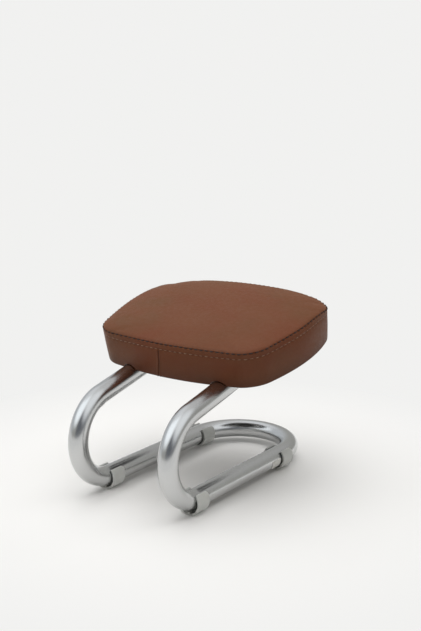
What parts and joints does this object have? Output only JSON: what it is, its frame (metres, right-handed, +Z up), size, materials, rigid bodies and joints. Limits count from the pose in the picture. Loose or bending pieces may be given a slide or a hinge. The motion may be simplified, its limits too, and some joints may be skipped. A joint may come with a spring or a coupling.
{
  "type": "low kneeling meditation seat",
  "caption": "Low upholstered kneeling seat on a one-piece bent-tube cantilever frame with clip-on feet, the cushion tilted down towards the front.",
  "frame": {"origin": "on the floor under the middle of the bench's length and width, so the feet rest on z = 0", "axes": "+X to the right as the bench is seen from its front (from -Y), +Y along the runners to the closed loop at the back, +Z up. Right and left in the names are as seen from the front"},
  "size_m": [0.29, 0.3502, 0.2409],
  "materials": {
    "tube": "satin silver-grey bent steel tube, soft lengthwise reflections",
    "foot": "matte grey moulded plastic clip",
    "plug": "matte black moulded plastic",
    "label": "plain off-white paper sticker, left blank",
    "leather": "brown leather-look vinyl with a fine grain, satin",
    "foam": "pale yellow upholstery foam, hidden",
    "board": "plain plywood, hidden",
    "cloth": "black non-woven dust cloth under the seat",
    "zinc": "zinc-plated steel fasteners"
  },
  "bodies": {
    "root": {"frame_tube": "tube", "front_right_foot": "foot", "front_left_foot": "foot", "rear_right_foot": "foot", "rear_left_foot": "foot", "blank_label": "label", "right_arm_plug": "plug", "left_arm_plug": "plug", "seat_board": "board", "foam_pad": "foam", "cover_top_panel": "leather", "cover_side_band": "leather", "underside_cloth": "cloth", "hem_staple_01": "zinc", "hem_staple_02": "zinc", "hem_staple_03": "zinc", "hem_staple_04": "zinc", "hem_staple_05": "zinc", "hem_staple_06": "zinc", "hem_staple_07": "zinc", "hem_staple_08": "zinc", "hem_staple_09": "zinc", "hem_staple_10": "zinc", "hem_staple_11": "zinc", "hem_staple_12": "zinc", "hem_staple_13": "zinc", "hem_staple_14": "zinc", "hem_staple_15": "zinc", "hem_staple_16": "zinc", "front_right_seat_bolt": "zinc", "front_right_saddle_washer": "zinc", "front_right_tee_nut": "zinc", "front_left_seat_bolt": "zinc", "front_left_saddle_washer": "zinc", "front_left_tee_nut": "zinc", "rear_right_seat_bolt": "zinc", "rear_right_saddle_washer": "zinc", "rear_right_tee_nut": "zinc", "rear_left_seat_bolt": "zinc", "rear_left_saddle_washer": "zinc", "rear_left_tee_nut": "zinc"}
  },
  "joints": []
}
